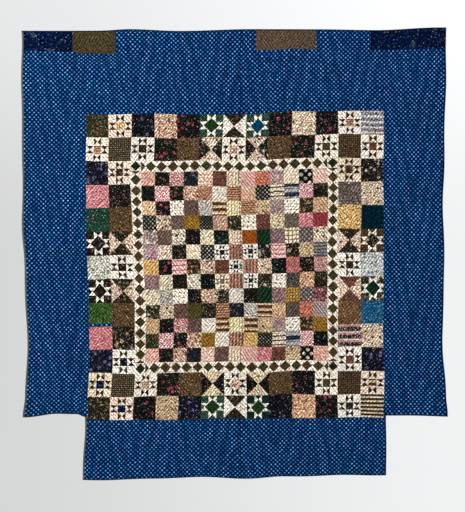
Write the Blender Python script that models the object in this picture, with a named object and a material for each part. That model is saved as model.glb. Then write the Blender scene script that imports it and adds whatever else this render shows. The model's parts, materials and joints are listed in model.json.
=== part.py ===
"""A pieced quilt hung flat from a wooden pole that rests in three wall brackets.

Metres, +Z up. The wall is the plane y = 0 and the quilt faces -Y. The origin is the middle of
the centre bracket's back face. Four groups of pieces move on each other: the brackets stay on
the wall, the pole lifts out of them, the quilt swings on the pole, and the foot drop folds
forward at its seam.
"""

import math

import bmesh
import bpy
from mathutils import Vector

# Quilt, in its own plane
QUILT_WIDTH = 2.073
TOP_BORDER = 0.408  # from the top edge down to the patchwork
FIELD_WIDTH = 1.4495  # the patchwork, 13 blocks each way
FIELD_HEIGHT = 1.480
SIDE_DROP_SHORT = 0.013  # how far above the patchwork's lower edge the side drops end
FOOT_WIDTH = 1.477
FOOT_DROP = 0.302
BLOCKS = 13
RING_BLOCKS = 2  # blocks from the patchwork's edge in to the diamond strips
DIAMOND_STRIP = 0.0505
MEDALLION_ROWS = 13
BINDING = 0.006

# Panels let into the top edge, each from its left end to its right end
INSET_HEIGHT = 0.098
NAVY_LEFT = (-1.0305, -0.790)
OLIVE = (-0.785, -0.581)
BROWN = (0.104, 0.396)
NAVY_RIGHT = (0.659, 1.0305)
TOP_SEAM_X = 0.018  # upright seam in the middle of the top border
BACKING_SEAM_X = 0.52  # upright seams between the three widths of the backing

# Layers, from front to back
SKIN = 0.0006
BATTING = 0.0030
GAP = 0.0003  # left between neighbours that touch
FOLD_GAP = 0.003  # front layers stop this far from the fold, so that it can close

# Pole and sleeve
POLE_RADIUS = 0.014
POLE_LENGTH = 1.970
CAP_RADIUS = 0.0175
CAP_LENGTH = 0.012
POLE_FROM_WALL = 0.038
POLE_BELOW_TOP = 0.040
SLEEVE_WALL = 0.0010
SLEEVE_CLEARANCE = 0.0006
SLEEVE_DEPTH = 0.075  # how far the sleeve reaches below the pole's axis
SLEEVE_SEAM = 0.006  # flat hem below the tube

# Brackets
BRACKET_WIDTH = 0.025
BRACKET_METAL = 0.003
ARM_HEIGHT = 0.006
CUP_CLEARANCE = 0.0005
LIP_HEIGHT = 0.005
LIP_TO_QUILT = 0.0020
PLATE_ABOVE_POLE = 0.022
PLATE_BELOW_POLE = 0.062
UPPER_SCREW_Z = 0.012  # above the pole's axis
LOWER_SCREW_Z = -0.045
SCREW_RADIUS = 0.0021
SCREW_CLEARANCE = 0.0003
SCREW_HEAD_RADIUS = 0.0042
SCREW_HEAD = 0.0022
END_BRACKET_INSET = 0.020  # from the pole's end to the middle of an end bracket
SLEEVE_TO_BRACKET = 0.008

POLE_SIDES = 32
ARC_STEPS = 24  # in a full turn of the sleeve's or a cup's arc, times two
SCREW_SIDES = 16

# Places worked out from the sizes above
CUP_RADIUS = POLE_RADIUS + CUP_CLEARANCE
PLATE_HEIGHT = PLATE_ABOVE_POLE + PLATE_BELOW_POLE
POLE_Y = -POLE_FROM_WALL
POLE_Z = PLATE_HEIGHT / 2 - PLATE_ABOVE_POLE
TOP_Z = POLE_Z + POLE_BELOW_TOP
FIELD_TOP = TOP_Z - TOP_BORDER
FIELD_BOTTOM = FIELD_TOP - FIELD_HEIGHT
DROP_BOTTOM = FIELD_BOTTOM + SIDE_DROP_SHORT
FOOT_BOTTOM = FIELD_BOTTOM - FOOT_DROP
HALF_WIDTH = QUILT_WIDTH / 2
HALF_FIELD = FIELD_WIDTH / 2
HALF_FOOT = FOOT_WIDTH / 2
BACKING_BACK = POLE_Y - CUP_RADIUS - BRACKET_METAL - LIP_TO_QUILT
BACKING_FRONT = BACKING_BACK - SKIN
BATTING_BACK = BACKING_FRONT - GAP
BATTING_FRONT = BATTING_BACK - BATTING
SKIN_BACK = BATTING_FRONT - GAP
SKIN_FRONT = SKIN_BACK - SKIN
FOLD_Y = (SKIN_FRONT + BACKING_BACK) / 2 + GAP
END_BRACKET_X = POLE_LENGTH / 2 - END_BRACKET_INSET

CREAM = (0.80, 0.75, 0.66)
BORDER_BLUE = (0.015, 0.075, 0.23)
NAVY = (0.010, 0.012, 0.030)
OLIVE_BROWN = (0.12, 0.09, 0.045)
PRINT_BROWN = (0.20, 0.11, 0.07)
UNBLEACHED = (0.72, 0.68, 0.58)
EDGE_NAVY = (0.012, 0.030, 0.075)
PINE = (0.55, 0.36, 0.18)
STEEL = (0.05, 0.05, 0.055)
ZINC = (0.60, 0.60, 0.62)


def clear_scene():
    for old in list(bpy.data.objects):
        bpy.data.objects.remove(old, do_unlink=True)


def material(name, colour, roughness=0.85, metallic=0.0):
    made = bpy.data.materials.new(name)
    made.use_nodes = True
    shader = made.node_tree.nodes["Principled BSDF"]
    shader.inputs["Base Color"].default_value = (*colour, 1.0)
    shader.inputs["Roughness"].default_value = roughness
    shader.inputs["Metallic"].default_value = metallic
    return made


def joint_empty(name, place, parent=None):
    """An empty on a joint's axis. Its world place is kept on it for what is parented to it."""
    empty = bpy.data.objects.new(name, None)
    bpy.context.scene.collection.objects.link(empty)
    empty["world_place"] = place
    if parent:
        empty.parent = parent
        place = Vector(place) - Vector(parent["world_place"])
    empty.location = place
    return empty


def add_piece(name, mesh_data, centre, made_of, parent):
    obj = bpy.data.objects.new(name, mesh_data)
    bpy.context.scene.collection.objects.link(obj)
    obj.data.materials.append(made_of)
    if parent:
        obj.parent = parent
        centre = Vector(centre) - Vector(parent["world_place"])
    obj.location = centre
    return obj


def extruded(name, outline, axis, start, end, made_of, parent=None):
    """A closed prism: outline holds the (a, b) corners in the plane across axis, "X" or "Y"."""
    centre_a = sum(a for a, b in outline) / len(outline)
    centre_b = sum(b for a, b in outline) / len(outline)
    middle = (start + end) / 2
    shape = bmesh.new()

    def corner(a, b, along):
        if axis == "X":
            return shape.verts.new((along - middle, a - centre_a, b - centre_b))
        return shape.verts.new((a - centre_a, along - middle, b - centre_b))

    first = [corner(a, b, start) for a, b in outline]
    last = [corner(a, b, end) for a, b in outline]
    shape.faces.new(first)
    shape.faces.new(last)
    for i in range(len(outline)):
        j = (i + 1) % len(outline)
        shape.faces.new((first[i], first[j], last[j], last[i]))
    bmesh.ops.recalc_face_normals(shape, faces=shape.faces)
    mesh_data = bpy.data.meshes.new(name)
    shape.to_mesh(mesh_data)
    shape.free()
    if axis == "X":
        centre = (middle, centre_a, centre_b)
    else:
        centre = (centre_a, middle, centre_b)
    return add_piece(name, mesh_data, centre, made_of, parent)


def panel(name, x_range, z_range, y_range, made_of, parent):
    """A flat rectangular layer of cloth or wadding."""
    (x0, x1), (z0, z1) = sorted(x_range), sorted(z_range)
    outline = [(x0, z0), (x1, z0), (x1, z1), (x0, z1)]
    return extruded(name, outline, "Y", *sorted(y_range), made_of, parent)


def inner(low, high):
    """A run of cloth between two seams, less half a gap at each."""
    return low + GAP / 2, high - GAP / 2


def top_piece(name, x_range, z_range, made_of, parent):
    """One piece of the quilt top, seamed to its neighbours on all sides."""
    x_run, z_run = inner(*x_range), inner(*z_range)
    return panel(name, x_run, z_run, (SKIN_FRONT, SKIN_BACK), made_of, parent)


def arc(centre, radius, start_deg, end_deg):
    """Corners along an arc, ends included, angles counted from +a towards +b."""
    steps = max(2, round(abs(end_deg - start_deg) / 360 * 2 * ARC_STEPS))
    angles = [
        math.radians(start_deg + (end_deg - start_deg) * i / steps)
        for i in range(steps + 1)
    ]
    return [
        (centre[0] + radius * math.cos(t), centre[1] + radius * math.sin(t))
        for t in angles
    ]


def cylinder(name, radius, sides, axis, start, end, centre, made_of, parent=None):
    """A round bar along X or Y through centre, given as the two other coordinates."""
    outline = [
        (
            centre[0] + radius * math.cos(2 * math.pi * i / sides),
            centre[1] + radius * math.sin(2 * math.pi * i / sides),
        )
        for i in range(sides)
    ]
    bar = extruded(name, outline, axis, start, end, made_of, parent)
    bar.data.shade_smooth()
    bar.data.set_sharp_from_angle(angle=math.radians(40))
    return bar


def top_border(cloth, parent):
    """The blue band over the patchwork, with four odd panels let into its top edge."""
    left, right = -HALF_WIDTH + BINDING, HALF_WIDTH - BINDING
    row = (TOP_Z - INSET_HEIGHT, TOP_Z - BINDING)
    band = (FIELD_TOP, TOP_Z - INSET_HEIGHT)
    top_piece("inset_navy_left", (left, NAVY_LEFT[1]), row, cloth["navy"], parent)
    top_piece("inset_olive", (NAVY_LEFT[1], OLIVE[1]), row, cloth["olive"], parent)
    top_piece("top_strip_left", (OLIVE[1], BROWN[0]), row, cloth["blue"], parent)
    top_piece("inset_brown", BROWN, row, cloth["brown"], parent)
    top_piece("top_strip_right", (BROWN[1], NAVY_RIGHT[0]), row, cloth["blue"], parent)
    top_piece("inset_navy_right", (NAVY_RIGHT[0], right), row, cloth["navy"], parent)
    top_piece("border_top_left", (left, TOP_SEAM_X), band, cloth["blue"], parent)
    top_piece("border_top_right", (TOP_SEAM_X, right), band, cloth["blue"], parent)


def side_borders(cloth, parent):
    run = (DROP_BOTTOM + BINDING, FIELD_TOP)
    outer = HALF_WIDTH - BINDING
    top_piece("border_left", (-outer, -HALF_FIELD), run, cloth["blue"], parent)
    top_piece("border_right", (HALF_FIELD, outer), run, cloth["blue"], parent)


def patchwork(cloth, parent):
    """Rings of blocks, the diamond strips inside them, and the medallion's rows of squares."""
    bottom = FIELD_BOTTOM + FOLD_GAP
    ring_x = HALF_FIELD - RING_BLOCKS * FIELD_WIDTH / BLOCKS
    ring_top = FIELD_TOP - RING_BLOCKS * FIELD_HEIGHT / BLOCKS
    ring_bottom = FIELD_BOTTOM + RING_BLOCKS * FIELD_HEIGHT / BLOCKS
    full, sides = (-HALF_FIELD, HALF_FIELD), (ring_bottom, ring_top)
    cream = cloth["cream"]
    top_piece("blocks_top", full, (ring_top, FIELD_TOP), cream, parent)
    top_piece("blocks_bottom", full, (bottom, ring_bottom), cream, parent)
    top_piece("blocks_left", (-HALF_FIELD, -ring_x), sides, cream, parent)
    top_piece("blocks_right", (ring_x, HALF_FIELD), sides, cream, parent)

    strip = cloth["olive"]
    inner_x = ring_x - DIAMOND_STRIP
    inner_top, inner_bottom = ring_top - DIAMOND_STRIP, ring_bottom + DIAMOND_STRIP
    across, upright = (-ring_x, ring_x), (inner_bottom, inner_top)
    top_piece("diamond_strip_top", across, (inner_top, ring_top), strip, parent)
    top_piece(
        "diamond_strip_bottom", across, (ring_bottom, inner_bottom), strip, parent
    )
    top_piece("diamond_strip_left", (-ring_x, -inner_x), upright, strip, parent)
    top_piece("diamond_strip_right", (inner_x, ring_x), upright, strip, parent)

    row_height = (inner_top - inner_bottom) / MEDALLION_ROWS
    for i in range(MEDALLION_ROWS):
        top = inner_top - i * row_height
        name = f"medallion_row_{i + 1:02d}"
        top_piece(name, (-inner_x, inner_x), (top - row_height, top), cream, parent)


def batting_and_backing(cloth, quilt, foot):
    """The wadding, and behind it the backing in three widths and a foot panel."""
    edge_x, edge_top = HALF_WIDTH - BINDING - GAP, TOP_Z - BINDING - GAP
    drop, fold = DROP_BOTTOM + BINDING + GAP, FIELD_BOTTOM + FOLD_GAP
    tab_x = HALF_FOOT - GAP
    half = [(tab_x, fold), (tab_x, drop), (edge_x, drop), (edge_x, edge_top)]
    outline = half + [(-x, z) for x, z in reversed(half)]
    layer = sorted((BATTING_FRONT, BATTING_BACK))
    extruded("batting_main", outline, "Y", *layer, cloth["wadding"], quilt)

    backing_layer = (BACKING_FRONT, BACKING_BACK)
    low = FIELD_BOTTOM + GAP / 2
    for side, name in ((-1, "backing_left"), (1, "backing_right")):
        inner_edge = BACKING_SEAM_X + GAP / 2
        outline = [
            (side * inner_edge, low),
            (side * tab_x, low),
            (side * tab_x, drop),
            (side * edge_x, drop),
            (side * edge_x, edge_top),
            (side * inner_edge, edge_top),
        ]
        extruded(name, outline, "Y", *backing_layer, cloth["backing"], quilt)
    middle = (-BACKING_SEAM_X + GAP / 2, BACKING_SEAM_X - GAP / 2)
    panel(
        "backing_centre",
        middle,
        (low, edge_top),
        backing_layer,
        cloth["backing"],
        quilt,
    )

    foot_x = HALF_FOOT - BINDING - GAP
    foot_low = FOOT_BOTTOM + BINDING + GAP
    under_fold = FIELD_BOTTOM - FOLD_GAP
    panel(
        "batting_foot",
        (-foot_x, foot_x),
        (foot_low, under_fold),
        layer,
        cloth["wadding"],
        foot,
    )
    panel(
        "backing_foot",
        (-foot_x, foot_x),
        (foot_low, FIELD_BOTTOM - GAP / 2),
        backing_layer,
        cloth["backing"],
        foot,
    )


def foot_panel(cloth, foot):
    run = HALF_FOOT - BINDING
    span = (FOOT_BOTTOM + BINDING, FIELD_BOTTOM - FOLD_GAP)
    top_piece("foot_drop_top", (-run, run), span, cloth["blue"], foot)


def binding(cloth, quilt, foot):
    """Narrow strips folded over the raw edges, butted at the corners."""
    edge = (SKIN_FRONT, BACKING_BACK)
    made_of = cloth["binding"]
    below_top = TOP_Z - BINDING - GAP
    x0, x1 = -HALF_WIDTH, HALF_WIDTH
    panel("binding_top", (x0, x1), (TOP_Z - BINDING, TOP_Z), edge, made_of, quilt)
    for side, word in ((-1, "left"), (1, "right")):
        upright = (side * (HALF_WIDTH - BINDING), side * HALF_WIDTH)
        name = f"binding_{word}"
        panel(name, upright, (DROP_BOTTOM, below_top), edge, made_of, quilt)
        hem = (side * HALF_FOOT, side * (HALF_WIDTH - BINDING - GAP))
        low = (DROP_BOTTOM, DROP_BOTTOM + BINDING)
        panel(f"binding_drop_{word}", hem, low, edge, made_of, quilt)
        tab = (side * (HALF_FOOT - BINDING), side * HALF_FOOT)
        tab_run = (FOOT_BOTTOM + BINDING + GAP, FIELD_BOTTOM - FOLD_GAP)
        panel(f"binding_foot_{word}", tab, tab_run, edge, made_of, foot)
    across, low = (-HALF_FOOT, HALF_FOOT), (FOOT_BOTTOM, FOOT_BOTTOM + BINDING)
    panel("binding_foot_bottom", across, low, edge, made_of, foot)


def sleeve_outline(hollow):
    """The sleeve's section, or the hollow in it: flat along the backing, round over the pole,
    narrowing to a flat hem at its lower seam."""
    wall = SLEEVE_WALL if hollow else 0.0
    radius = POLE_RADIUS + SLEEVE_CLEARANCE + SLEEVE_WALL - wall
    front = BACKING_BACK + GAP + wall
    over_pole = arc((POLE_Y, POLE_Z), radius, 90, -30)
    low = POLE_Z - SLEEVE_DEPTH
    seam = low + SLEEVE_SEAM
    if hollow:
        tip = seam + 2 * SLEEVE_WALL
        lower_end = [(front + SLEEVE_WALL / 2, tip), (front, tip)]
    else:
        hem_back = front + 2 * SLEEVE_WALL
        lower_end = [(hem_back, seam), (hem_back, low), (front, low)]
    return [(front, POLE_Z + radius), *over_pole, *lower_end]


def sleeve(name, x0, x1, cloth, quilt):
    """A fabric tube open at both ends: the outer section with the inner one cut out of it."""
    tube = extruded(name, sleeve_outline(False), "X", x0, x1, cloth["backing"], quilt)
    past_ends = 0.01
    hollow = extruded(
        f"{name}_hollow",
        sleeve_outline(True),
        "X",
        x0 - past_ends,
        x1 + past_ends,
        cloth["backing"],
        quilt,
    )
    cut(tube, hollow)
    return tube


def cut(obj, cutter):
    cutter.hide_render = True
    cutter.display_type = "WIRE"
    boolean = obj.modifiers.new(f"cut_{cutter.name}", "BOOLEAN")
    boolean.operation = "DIFFERENCE"
    boolean.solver = "EXACT"
    boolean.object = cutter


def pole(wood, carrier):
    half = POLE_LENGTH / 2
    axis = (POLE_Y, POLE_Z)
    cylinder("pole", POLE_RADIUS, POLE_SIDES, "X", -half, half, axis, wood, carrier)
    for side, word in ((-1, "left"), (1, "right")):
        ends = sorted((side * (half + GAP), side * (half + GAP + CAP_LENGTH)))
        name = f"pole_cap_{word}"
        cylinder(name, CAP_RADIUS, POLE_SIDES, "X", *ends, axis, wood, carrier)


def bracket_outline():
    """The bracket's section: a plate on the wall, an arm, and a cup that opens upwards."""
    outer = CUP_RADIUS + BRACKET_METAL
    face = -BRACKET_METAL
    plate_top, plate_low = POLE_Z + PLATE_ABOVE_POLE, POLE_Z - PLATE_BELOW_POLE
    arm_low = POLE_Z - outer
    arm_top = arm_low + ARM_HEIGHT
    lip = POLE_Z + LIP_HEIGHT
    cup = (POLE_Y, POLE_Z)
    return [
        (0.0, plate_low),
        (0.0, plate_top),
        (face, plate_top),
        (face, arm_top),
        (POLE_Y + outer, arm_top),
        (POLE_Y + outer, lip),
        (POLE_Y + CUP_RADIUS, lip),
        *arc(cup, CUP_RADIUS, 0, -180),
        (POLE_Y - CUP_RADIUS, lip),
        (POLE_Y - outer, lip),
        *arc(cup, outer, -180, -90),
        (face, arm_low),
        (face, plate_low),
    ]


def bracket(word, x, steel, zinc):
    """One bracket with its two wall screws."""
    x0, x1 = x - BRACKET_WIDTH / 2, x + BRACKET_WIDTH / 2
    body = extruded(f"bracket_{word}", bracket_outline(), "X", x0, x1, steel)
    past_faces = 0.001
    for height, place in ((UPPER_SCREW_Z, "upper"), (LOWER_SCREW_Z, "lower")):
        centre = (x, POLE_Z + height)
        hole = cylinder(
            f"hole_{word}_{place}",
            SCREW_RADIUS + SCREW_CLEARANCE,
            SCREW_SIDES,
            "Y",
            -BRACKET_METAL - past_faces,
            past_faces,
            centre,
            steel,
        )
        cut(body, hole)
        screw(f"screw_{word}_{place}", centre, zinc)


def screw(name, centre, zinc):
    """A pan-head wall screw, turned about its axis: shank through the plate, domed head on it."""
    seat = -BRACKET_METAL - GAP
    profile = [
        (0.0, 0.0),
        (SCREW_RADIUS, 0.0),
        (SCREW_RADIUS, seat),
        (SCREW_HEAD_RADIUS, seat),
        (SCREW_HEAD_RADIUS, seat - SCREW_HEAD * 0.5),
        (SCREW_HEAD_RADIUS * 0.7, seat - SCREW_HEAD * 0.85),
        (0.0, seat - SCREW_HEAD),
    ]
    shape = bmesh.new()
    rings = []
    for radius, along in profile:
        if radius == 0.0:
            rings.append([shape.verts.new((0.0, along, 0.0))])
            continue
        turn = [2 * math.pi * i / SCREW_SIDES for i in range(SCREW_SIDES)]
        rings.append(
            [
                shape.verts.new((radius * math.cos(t), along, radius * math.sin(t)))
                for t in turn
            ]
        )
    for near, far in zip(rings, rings[1:]):
        for i in range(SCREW_SIDES):
            j = (i + 1) % SCREW_SIDES
            corners = [near[i % len(near)], near[j % len(near)]]
            corners += [far[j % len(far)], far[i % len(far)]]
            shape.faces.new(dict.fromkeys(corners))
    bmesh.ops.recalc_face_normals(shape, faces=shape.faces)
    mesh_data = bpy.data.meshes.new(name)
    shape.to_mesh(mesh_data)
    shape.free()
    made = add_piece(name, mesh_data, (centre[0], 0.0, centre[1]), zinc, None)
    made.data.shade_smooth()
    made.data.set_sharp_from_angle(angle=math.radians(40))


def main():
    clear_scene()
    cloth = {
        "blue": material("border_blue", BORDER_BLUE),
        "navy": material("inset_navy", NAVY),
        "olive": material("olive_brown", OLIVE_BROWN),
        "brown": material("print_brown", PRINT_BROWN),
        "cream": material("patchwork_cream", CREAM),
        "wadding": material("wadding", UNBLEACHED),
        "backing": material("backing_cotton", UNBLEACHED),
        "binding": material("binding_navy", EDGE_NAVY),
    }
    wood = material("pine", PINE, roughness=0.55)
    steel = material("black_steel", STEEL, roughness=0.45, metallic=0.6)
    zinc = material("zinc", ZINC, roughness=0.35, metallic=1.0)

    pole_lift = joint_empty("pole_lift_axis", (0.0, POLE_Y, POLE_Z))
    swing = joint_empty("quilt_swing_axis", (0.0, POLE_Y, POLE_Z), pole_lift)
    fold = joint_empty("foot_fold_axis", (0.0, FOLD_Y, FIELD_BOTTOM), swing)

    bracket("left", -END_BRACKET_X, steel, zinc)
    bracket("centre", 0.0, steel, zinc)
    bracket("right", END_BRACKET_X, steel, zinc)
    pole(wood, pole_lift)
    reach = BRACKET_WIDTH / 2 + SLEEVE_TO_BRACKET
    sleeve("sleeve_left", -END_BRACKET_X + reach, -reach, cloth, swing)
    sleeve("sleeve_right", reach, END_BRACKET_X - reach, cloth, swing)
    top_border(cloth, swing)
    side_borders(cloth, swing)
    patchwork(cloth, swing)
    batting_and_backing(cloth, swing, fold)
    foot_panel(cloth, fold)
    binding(cloth, swing, fold)


main()
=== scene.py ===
"""A pieced quilt hung flat from a pole on three wall brackets, seen from the front.

Every cloth piece is a grid that follows one drape, so that neighbours stay sewn together. The
quilting is in the geometry; the prints are procedural and take their colours from the faces.
"""

import math
from contextlib import contextmanager

import bmesh
import bpy
import numpy as np
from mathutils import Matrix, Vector
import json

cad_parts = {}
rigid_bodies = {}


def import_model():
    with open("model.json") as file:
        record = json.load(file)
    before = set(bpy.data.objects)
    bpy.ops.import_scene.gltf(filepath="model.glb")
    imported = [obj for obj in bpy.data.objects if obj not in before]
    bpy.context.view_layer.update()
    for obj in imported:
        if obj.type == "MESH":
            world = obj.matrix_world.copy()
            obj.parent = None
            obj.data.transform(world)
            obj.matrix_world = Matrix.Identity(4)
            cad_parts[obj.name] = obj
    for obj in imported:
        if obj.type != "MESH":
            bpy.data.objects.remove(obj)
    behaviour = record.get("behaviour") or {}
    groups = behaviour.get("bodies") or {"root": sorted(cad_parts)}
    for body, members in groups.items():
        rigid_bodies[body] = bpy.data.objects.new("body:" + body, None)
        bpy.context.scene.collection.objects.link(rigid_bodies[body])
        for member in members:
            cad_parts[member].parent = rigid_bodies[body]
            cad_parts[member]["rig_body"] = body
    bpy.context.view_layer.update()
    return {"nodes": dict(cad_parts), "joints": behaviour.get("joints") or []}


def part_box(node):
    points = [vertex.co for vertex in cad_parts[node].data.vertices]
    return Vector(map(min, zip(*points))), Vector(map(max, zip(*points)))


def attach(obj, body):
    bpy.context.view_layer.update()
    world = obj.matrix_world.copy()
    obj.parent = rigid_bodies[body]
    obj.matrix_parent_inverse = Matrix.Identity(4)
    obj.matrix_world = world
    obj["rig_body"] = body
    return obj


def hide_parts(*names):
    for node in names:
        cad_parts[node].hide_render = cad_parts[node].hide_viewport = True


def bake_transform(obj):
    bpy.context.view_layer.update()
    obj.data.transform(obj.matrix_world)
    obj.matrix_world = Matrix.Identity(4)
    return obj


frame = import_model()


def low(node):
    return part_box(node)[0]


def high(node):
    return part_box(node)[1]


JOINTS = {j["name"]: j for j in frame["joints"]}
SEAM_HALF = 0.00015  # half the gap that the solids leave at a seam
FRONT = low("blocks_top")[1]
BACK = high("backing_centre")[1]
TOP = high("binding_top")[2]
HALF_WIDTH = high("binding_top")[0]
HALF_FOOT = high("binding_foot_bottom")[0]
FOLD_Z = JOINTS["foot_fold"]["pos_m"][2]
FOOT_LOW = low("binding_foot_bottom")[2]
DROP_LOW = low("binding_drop_left")[2]
FIELD_X = high("blocks_top")[0] + SEAM_HALF
FIELD_TOP = high("blocks_top")[2] + SEAM_HALF
BLOCK_W = 2 * FIELD_X / 13
BLOCK_H = (FIELD_TOP - FOLD_Z) / 13

# How far the edges stray from straight: (place along the edge, stray), lowest place first
LEFT_EDGE = [(-2.05, 0.0), (-1.83, 0.015), (-1.50, 0.028), (-1.10, 0.014), (-0.85, 0.003), (0.06, 0.0)]
RIGHT_EDGE = [(-2.00, -0.014), (-1.75, -0.011), (-1.45, -0.026), (-1.10, -0.018), (-0.85, -0.026),
              (-0.60, -0.018), (0.06, -0.008)]
TOP_EDGE = [(-0.66, -0.002), (-0.51, 0.006), (-0.27, -0.003), (0.10, 0.006), (0.42, 0.005),
            (0.68, 0.001), (1.00, 0.014)]
DROP_EDGE = [(-1.04, -0.002), (-0.88, 0.020), (-0.78, 0.015), (-0.735, 0.0), (0.78, 0.0), (1.04, -0.008)]
FOOT_EDGE = [(-0.70, 0.003), (-0.22, 0.017), (0.06, 0.012), (0.25, 0.022), (0.74, 0.030)]
# How the patchwork has shifted inside its edges
MIDDLE_LEAN = [(-1.83, 0.0), (-1.25, 0.009), (-0.58, -0.006), (-0.38, 0.0)]
LEFT_SAG = [(-2.13, 0.0), (-1.83, -0.006), (-1.35, -0.008), (-0.80, 0.0)]
RIGHT_RISE = [(-2.13, 0.0), (-1.83, 0.005), (-1.40, 0.005), (-0.80, 0.015), (-0.35, 0.015), (0.06, 0.0)]
TOP_ROW_SEAM = [(-1.04, -0.002), (-0.80, -0.005), (-0.75, -0.016), (-0.62, -0.016), (-0.52, 0.0)]

# Quilting: zigzag lines, steeper than 45 degrees, their peaks on upright lines
ZIG_HALF = 0.1705  # from a peak across to the next trough
ZIG_PEAK_X = 0.0275
ZIG_SLOPE = 1.28
ROW_RISE = 0.0205
PUFF = 0.0015
WADDING_DEPTH = 0.0019  # from the solids' front to the wadding's

FINE_PITCH, BACKING_PITCH, WADDING_PITCH = 0.00305, 0.0048, 0.02  # the grids' cells
NARROW_LAP = 0.0055  # how far a binding laps each face
END_TUCK = 0.006  # how far a binding stops short of the one that covers its end
INWARD_LAP = 0.012  # how far the drops' lower bindings run behind the foot's
FOLD_REACH = 0.010  # a solid's edge this near the fold is one that the fold's gap parts

DIM = 0.40  # the room's brightness in front of the quilt
FLOOR_RADIUS, FLOOR_DROP = 3.0, 0.82  # the floor is this far below the quilt
VIEW_WIDTH = 2.488  # what the camera sees across at the quilt's front
CAMERA_X, CAMERA_Z = -0.011, -1.037


def eased(t, knots):
    """Smooth interpolation through (place, value) knots."""
    at, value = (np.array(column) for column in zip(*knots))
    i = np.clip(np.searchsorted(at, t) - 1, 0, len(at) - 2)
    f = np.clip((t - at[i]) / (at[i + 1] - at[i]), 0, 1)
    f = f * f * (3 - 2 * f)
    return value[i] * (1 - f) + value[i + 1] * f


def step(t, start, end):
    f = np.clip((t - start) / (end - start), 0, 1)
    return f * f * (3 - 2 * f)


def draped(x, z, depth):
    """Where a point of the flat quilt hangs. depth is its y."""
    reach = np.abs(x) / HALF_WIDTH
    border = np.clip((x - 0.69) / (HALF_WIDTH - 0.69), 0, 1)
    dx = np.where(x < 0, eased(z, LEFT_EDGE) * reach, eased(z, RIGHT_EDGE) * border)
    dx = dx + eased(z, MIDDLE_LEAN) * step(np.abs(x + 0.14), 0.62, 0.25)
    corner = step(np.hypot(np.abs(x) - HALF_WIDTH, z - DROP_LOW), 0.10, 0.0)
    dx = dx + np.sign(x) * 0.011 * corner
    dz = eased(x, TOP_EDGE) * step(z, TOP - 0.16, TOP)
    dz = dz + eased(x, DROP_EDGE) * step(z, DROP_LOW + 0.22, DROP_LOW)
    dz = dz + eased(x, FOOT_EDGE) * np.clip((FOLD_Z - z) / (FOLD_Z - FOOT_LOW), 0, 1.02)
    dz = dz + eased(z, LEFT_SAG) * step(x, -0.08, -0.44) + eased(z, RIGHT_RISE) * step(x, 0.05, 0.36)
    dz = dz + eased(x, TOP_ROW_SEAM) * step(np.abs(z - low("inset_olive")[2]), 0.09, 0.0)
    hand = 0.0016 * step(z, TOP + 0.02, TOP - 0.1)  # nothing sewn by hand is quite square
    dx = dx + hand * (np.sin(17 * z + 5 * x) + np.sin(41 * x - 9 * z + 1.0))
    dz = dz + hand * (np.sin(19 * x - 4 * z + 2.0) + np.sin(37 * z + 11 * x))
    loose = step(z, TOP - 0.12, TOP - 0.55)  # the sleeve holds the cloth flat near the top
    billow = np.sin(5.1 * x + 1.3 * z + 0.6) * np.sin(2.3 * z + 0.5) + 0.5 * np.sin(11.0 * x - 4.0 * z)
    ripple = np.sin(46 * x + 13 * z) * np.sin(39 * z - 17 * x + 1.0)
    curl = step(np.abs(x), HALF_WIDTH - 0.10, HALF_WIDTH) * np.sin(9 * z)
    calm = step(np.abs(z - FOLD_Z), 0.0, 0.08)
    dy = -loose * (0.0022 * (1 + billow) + 0.0005 * ripple + 0.0022 * curl) * (0.4 + 0.6 * calm)
    return np.stack([x + dx, depth + dy, z + dz], -1)


def quilting_rows(x, z):
    """How many quilting rows up from the origin a point lies; the stitches are at whole numbers."""
    across = np.abs((x - ZIG_PEAK_X + ZIG_HALF) % (2 * ZIG_HALF) - ZIG_HALF)
    wobble = 0.10 * np.sin(23 * x + 31 * z) + 0.07 * np.sin(71 * x - 43 * z)
    return (z + ZIG_SLOPE * across) / ROW_RISE + wobble


def puffed(x, z):
    """0 at a line of stitches, 1 at the crown between two."""
    return np.abs(np.sin(math.pi * quilting_rows(x, z))) ** 0.75


def clear_of_corner(x, z, top):
    """Keeps a layer that runs down to the fold inside the drops' lower edges at the sides."""
    shrink = (DROP_LOW + 0.003 - top) / (FOLD_Z - top)
    return np.where(np.abs(x) > FIELD_X + 0.001, top + (z - top) * shrink, z)


def up_to_corner(x, z):
    """Takes the foot drop's upper corners up to the side drops' lower edges."""
    rise = (DROP_LOW - FOLD_Z) * np.clip((z - FOLD_Z) / 0.04 + 1, 0, 1)
    return np.where(np.abs(x) > FIELD_X + 0.001, z + rise, z)


# ---------------------------------------------------------------------------- cloth as grids


def placed(name, data):
    obj = bpy.data.objects.new(name, data)
    bpy.context.scene.collection.objects.link(obj)
    return obj


def mesh_object(name, points, corners, sizes):
    """A mesh from its points and its faces' corners, one after another, sizes giving how many."""
    data = bpy.data.meshes.new(name)
    data.vertices.add(len(points))
    data.vertices.foreach_set("co", np.ascontiguousarray(points, np.float32).ravel())
    data.loops.add(len(corners))
    data.loops.foreach_set("vertex_index", corners.astype(np.int32))
    data.polygons.add(len(sizes))
    starts = np.concatenate([[0], np.cumsum(sizes)[:-1]])
    data.polygons.foreach_set("loop_start", starts.astype(np.int32))
    data.update(calc_edges=True)
    data.shade_smooth()
    return placed(name, data)


def bake_map(obj, u, v):
    """A map of the grid for a later bake, from each point's place along and across it."""
    data = obj.data
    corner = np.empty(len(data.loops), np.int32)
    data.loops.foreach_get("vertex_index", corner)
    uv = np.stack([u[corner], v[corner]], 1) * 0.996 + 0.002
    layer = data.uv_layers.new(name="OFBake", do_init=False)
    layer.uv.foreach_set("vector", uv.astype(np.float32).ravel())


@contextmanager
def editing(data):
    bm = bmesh.new()
    bm.from_mesh(data)
    yield bm
    bm.to_mesh(data)
    bm.free()


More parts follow.
